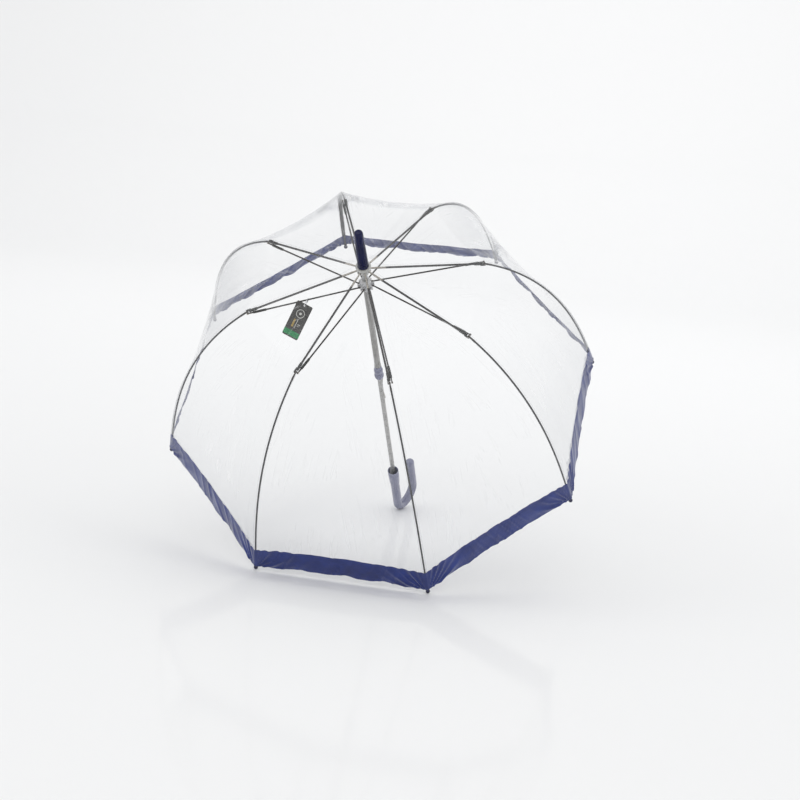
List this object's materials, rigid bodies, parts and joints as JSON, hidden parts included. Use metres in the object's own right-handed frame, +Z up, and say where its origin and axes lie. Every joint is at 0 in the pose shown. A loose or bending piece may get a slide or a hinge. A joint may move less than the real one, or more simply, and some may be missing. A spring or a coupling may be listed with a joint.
{
  "type": "stick umbrella",
  "caption": "Open stick umbrella with a clear dome canopy, navy hem, folding ribs, sliding runner and crook handle, resting on its rim.",
  "frame": {"origin": "on the floor under the centre of the open umbrella's box", "axes": "+Z up; the shaft leans in the YZ plane with the ferrule towards -Y and the crook towards +Y; +X across the dome"},
  "size_m": [0.7838, 0.7211, 0.6858],
  "materials": {
    "steel_tube": "satin",
    "bright_steel": "bright",
    "dark_steel": "gloss black",
    "black_fibre": "gloss black",
    "black_plastic": "satin",
    "tip_plastic": "gloss",
    "navy_plastic": "gloss",
    "clear_plastic": "gloss",
    "runner_plastic": "satin",
    "clear_film": "clear",
    "navy_hem": "satin weave",
    "tag_card": "printed card",
    "loop_plastic": "clear"
  },
  "bodies": {
    "root": {"shaft_tube": "steel_tube", "stop_pin": "bright_steel", "crown_notch": "clear_plastic", "crown_wire": "bright_steel", "crown_washer": "clear_plastic", "ferrule": "navy_plastic", "handle_crook": "navy_plastic", "canopy_film": "clear_film", "canopy_hem": "navy_hem"},
    "runner": {"runner_head": "runner_plastic", "runner_wire": "bright_steel", "runner_sleeve": "steel_tube", "runner_grip": "navy_plastic"},
    "upper_catch": {"upper_catch": "bright_steel"},
    "lower_catch": {"lower_catch": "bright_steel"},
    "arm_1": {"rib_arm_1": "dark_steel", "rib_connector_1": "black_plastic"},
    "arm_2": {"rib_arm_2": "dark_steel", "rib_connector_2": "black_plastic"},
    "arm_3": {"rib_arm_3": "dark_steel", "rib_connector_3": "black_plastic"},
    "arm_4": {"rib_arm_4": "dark_steel", "rib_connector_4": "black_plastic"},
    "arm_5": {"rib_arm_5": "dark_steel", "rib_connector_5": "black_plastic"},
    "arm_6": {"rib_arm_6": "dark_steel", "rib_connector_6": "black_plastic"},
    "arm_7": {"rib_arm_7": "dark_steel", "rib_connector_7": "black_plastic"},
    "arm_8": {"rib_arm_8": "dark_steel", "rib_connector_8": "black_plastic"},
    "rod_1": {"outer_rod_1": "black_fibre", "tip_cap_1": "tip_plastic"},
    "rod_2": {"outer_rod_2": "black_fibre", "tip_cap_2": "tip_plastic"},
    "rod_3": {"outer_rod_3": "black_fibre", "tip_cap_3": "tip_plastic"},
    "rod_4": {"outer_rod_4": "black_fibre", "tip_cap_4": "tip_plastic"},
    "rod_5": {"outer_rod_5": "black_fibre", "tip_cap_5": "tip_plastic"},
    "rod_6": {"outer_rod_6": "black_fibre", "tip_cap_6": "tip_plastic"},
    "rod_7": {"outer_rod_7": "black_fibre", "tip_cap_7": "tip_plastic"},
    "rod_8": {"outer_rod_8": "black_fibre", "tip_cap_8": "tip_plastic"},
    "strut_1": {"stretcher_1": "dark_steel"},
    "strut_2": {"stretcher_2": "dark_steel"},
    "strut_3": {"stretcher_3": "dark_steel"},
    "strut_4": {"stretcher_4": "dark_steel"},
    "strut_5": {"stretcher_5": "dark_steel"},
    "strut_6": {"stretcher_6": "dark_steel"},
    "strut_7": {"stretcher_7": "dark_steel"},
    "strut_8": {"stretcher_8": "dark_steel"},
    "tag": {"swing_tag": "tag_card", "tag_loop": "loop_plastic"}
  },
  "joints": [
    {"name": "runner_slide", "type": "slide", "parent": "root", "child": "runner", "axis": [0, 0.7051, -0.7091], "range_m": [0, 0.362], "deforming": ["canopy_film", "canopy_hem", "upper_catch", "lower_catch"]},
    {"name": "arm_hinge_1", "type": "hinge", "parent": "root", "child": "arm_1", "pos_m": [-0.01063, -0.24772, 0.5682], "axis": [0.3827, -0.6551, -0.6515], "range_deg": [0, 66.3]},
    {"name": "arm_hinge_2", "type": "hinge", "parent": "root", "child": "arm_2", "pos_m": [-0.0044, -0.25213, 0.56381], "axis": [0.9239, -0.2714, -0.2698], "range_deg": [0, 66.3]},
    {"name": "arm_hinge_3", "type": "hinge", "parent": "root", "child": "arm_3", "pos_m": [0.0044, -0.25213, 0.56381], "axis": [0.9239, 0.2714, 0.2698], "range_deg": [0, 66.3]},
    {"name": "arm_hinge_4", "type": "hinge", "parent": "root", "child": "arm_4", "pos_m": [0.01063, -0.24772, 0.5682], "axis": [0.3827, 0.6551, 0.6515], "range_deg": [0, 66.3]},
    {"name": "arm_hinge_5", "type": "hinge", "parent": "root", "child": "arm_5", "pos_m": [0.01063, -0.24148, 0.5744], "axis": [-0.3827, 0.6551, 0.6515], "range_deg": [0, 66.3]},
    {"name": "arm_hinge_6", "type": "hinge", "parent": "root", "child": "arm_6", "pos_m": [0.0044, -0.23707, 0.57879], "axis": [-0.9239, 0.2714, 0.2698], "range_deg": [0, 66.3]},
    {"name": "arm_hinge_7", "type": "hinge", "parent": "root", "child": "arm_7", "pos_m": [-0.0044, -0.23707, 0.57879], "axis": [-0.9239, -0.2714, -0.2698], "range_deg": [0, 66.3]},
    {"name": "arm_hinge_8", "type": "hinge", "parent": "root", "child": "arm_8", "pos_m": [-0.01063, -0.24148, 0.5744], "axis": [-0.3827, -0.6551, -0.6515], "range_deg": [0, 66.3]},
    {"name": "rod_hinge_1", "type": "hinge", "parent": "arm_1", "child": "rod_1", "pos_m": [-0.19738, -0.26711, 0.47799], "axis": [0.3827, -0.6551, -0.6515], "range_deg": [-33.6, 0]},
    {"name": "rod_hinge_2", "type": "hinge", "parent": "arm_2", "child": "rod_2", "pos_m": [-0.08176, -0.3491, 0.39647], "axis": [0.9239, -0.2714, -0.2698], "range_deg": [-33.6, 0]},
    {"name": "rod_hinge_3", "type": "hinge", "parent": "arm_3", "child": "rod_3", "pos_m": [0.08176, -0.3491, 0.39647], "axis": [0.9239, 0.2714, 0.2698], "range_deg": [-33.6, 0]},
    {"name": "rod_hinge_4", "type": "hinge", "parent": "arm_4", "child": "rod_4", "pos_m": [0.19738, -0.26711, 0.47799], "axis": [0.3827, 0.6551, 0.6515], "range_deg": [-33.6, 0]},
    {"name": "rod_hinge_5", "type": "hinge", "parent": "arm_5", "child": "rod_5", "pos_m": [0.19738, -0.15117, 0.59329], "axis": [-0.3827, 0.6551, 0.6515], "range_deg": [-33.6, 0]},
    {"name": "rod_hinge_6", "type": "hinge", "parent": "arm_6", "child": "rod_6", "pos_m": [0.08176, -0.06919, 0.67482], "axis": [-0.9239, 0.2714, 0.2698], "range_deg": [-33.6, 0]},
    {"name": "rod_hinge_7", "type": "hinge", "parent": "arm_7", "child": "rod_7", "pos_m": [-0.08176, -0.06919, 0.67482], "axis": [-0.9239, -0.2714, -0.2698], "range_deg": [-33.6, 0]},
    {"name": "rod_hinge_8", "type": "hinge", "parent": "arm_8", "child": "rod_8", "pos_m": [-0.19738, -0.15117, 0.59329], "axis": [-0.3827, -0.6551, -0.6515], "range_deg": [-33.6, 0]},
    {"name": "strut_hinge_1", "type": "hinge", "parent": "runner", "child": "strut_1", "pos_m": [-0.00987, -0.22175, 0.53578], "axis": [0.3827, -0.6551, -0.6515], "range_deg": [-82.76, 0]},
    {"name": "strut_hinge_2", "type": "hinge", "parent": "runner", "child": "strut_2", "pos_m": [-0.00072, -0.22486, 0.53268], "axis": [0.9239, -0.2714, -0.2698], "range_deg": [-82.76, 0]},
    {"name": "strut_hinge_3", "type": "hinge", "parent": "runner", "child": "strut_3", "pos_m": [0.00885, -0.22247, 0.53506], "axis": [0.9239, 0.2714, 0.2698], "range_deg": [-82.76, 0]},
    {"name": "strut_hinge_4", "type": "hinge", "parent": "runner", "child": "strut_4", "pos_m": [0.01323, -0.21599, 0.54151], "axis": [0.3827, 0.6551, 0.6515], "range_deg": [-82.76, 0]},
    {"name": "strut_hinge_5", "type": "hinge", "parent": "runner", "child": "strut_5", "pos_m": [0.00987, -0.2092, 0.54825], "axis": [-0.3827, 0.6551, 0.6515], "range_deg": [-82.76, 0]},
    {"name": "strut_hinge_6", "type": "hinge", "parent": "runner", "child": "strut_6", "pos_m": [0.00072, -0.2061, 0.55135], "axis": [-0.9239, 0.2714, 0.2698], "range_deg": [-82.76, 0]},
    {"name": "strut_hinge_7", "type": "hinge", "parent": "runner", "child": "strut_7", "pos_m": [-0.00885, -0.20848, 0.54897], "axis": [-0.9239, -0.2714, -0.2698], "range_deg": [-82.76, 0]},
    {"name": "strut_hinge_8", "type": "hinge", "parent": "runner", "child": "strut_8", "pos_m": [-0.01323, -0.21497, 0.54252], "axis": [-0.3827, -0.6551, -0.6515], "range_deg": [-82.76, 0]},
    {"name": "tag_swing", "type": "hinge", "parent": "strut_1", "child": "tag", "pos_m": [-0.09627, -0.24419, 0.50757], "axis": [-0.923, -0.2396, -0.3012], "range_deg": [-25, 10]},
    {"name": "upper_catch_press", "type": "slide", "parent": "root", "child": "upper_catch", "axis": [-1, 0, 0], "range_m": [0, 0.003], "stiffness_N_per_m": 400},
    {"name": "lower_catch_press", "type": "slide", "parent": "root", "child": "lower_catch", "axis": [-1, 0, 0], "range_m": [0, 0.003], "stiffness_N_per_m": 400}
  ],
  "couplings": [
    {"joint": "arm_hinge_1", "follows": "runner_slide", "rad_per_m": 3.1869},
    {"joint": "arm_hinge_2", "follows": "runner_slide", "rad_per_m": 3.1869},
    {"joint": "arm_hinge_3", "follows": "runner_slide", "rad_per_m": 3.1869},
    {"joint": "arm_hinge_4", "follows": "runner_slide", "rad_per_m": 3.1869},
    {"joint": "arm_hinge_5", "follows": "runner_slide", "rad_per_m": 3.1869},
    {"joint": "arm_hinge_6", "follows": "runner_slide", "rad_per_m": 3.1869},
    {"joint": "arm_hinge_7", "follows": "runner_slide", "rad_per_m": 3.1869},
    {"joint": "arm_hinge_8", "follows": "runner_slide", "rad_per_m": 3.1869},
    {"joint": "rod_hinge_1", "follows": "runner_slide", "rad_per_m": -1.6103},
    {"joint": "rod_hinge_2", "follows": "runner_slide", "rad_per_m": -1.6103},
    {"joint": "rod_hinge_3", "follows": "runner_slide", "rad_per_m": -1.6103},
    {"joint": "rod_hinge_4", "follows": "runner_slide", "rad_per_m": -1.6103},
    {"joint": "rod_hinge_5", "follows": "runner_slide", "rad_per_m": -1.6103},
    {"joint": "rod_hinge_6", "follows": "runner_slide", "rad_per_m": -1.6103},
    {"joint": "rod_hinge_7", "follows": "runner_slide", "rad_per_m": -1.6103},
    {"joint": "rod_hinge_8", "follows": "runner_slide", "rad_per_m": -1.6103},
    {"joint": "strut_hinge_1", "follows": "runner_slide", "rad_per_m": -3.9806},
    {"joint": "strut_hinge_2", "follows": "runner_slide", "rad_per_m": -3.9806},
    {"joint": "strut_hinge_3", "follows": "runner_slide", "rad_per_m": -3.9806},
    {"joint": "strut_hinge_4", "follows": "runner_slide", "rad_per_m": -3.9806},
    {"joint": "strut_hinge_5", "follows": "runner_slide", "rad_per_m": -3.9806},
    {"joint": "strut_hinge_6", "follows": "runner_slide", "rad_per_m": -3.9806},
    {"joint": "strut_hinge_7", "follows": "runner_slide", "rad_per_m": -3.9806},
    {"joint": "strut_hinge_8", "follows": "runner_slide", "rad_per_m": -3.9806}
  ]
}
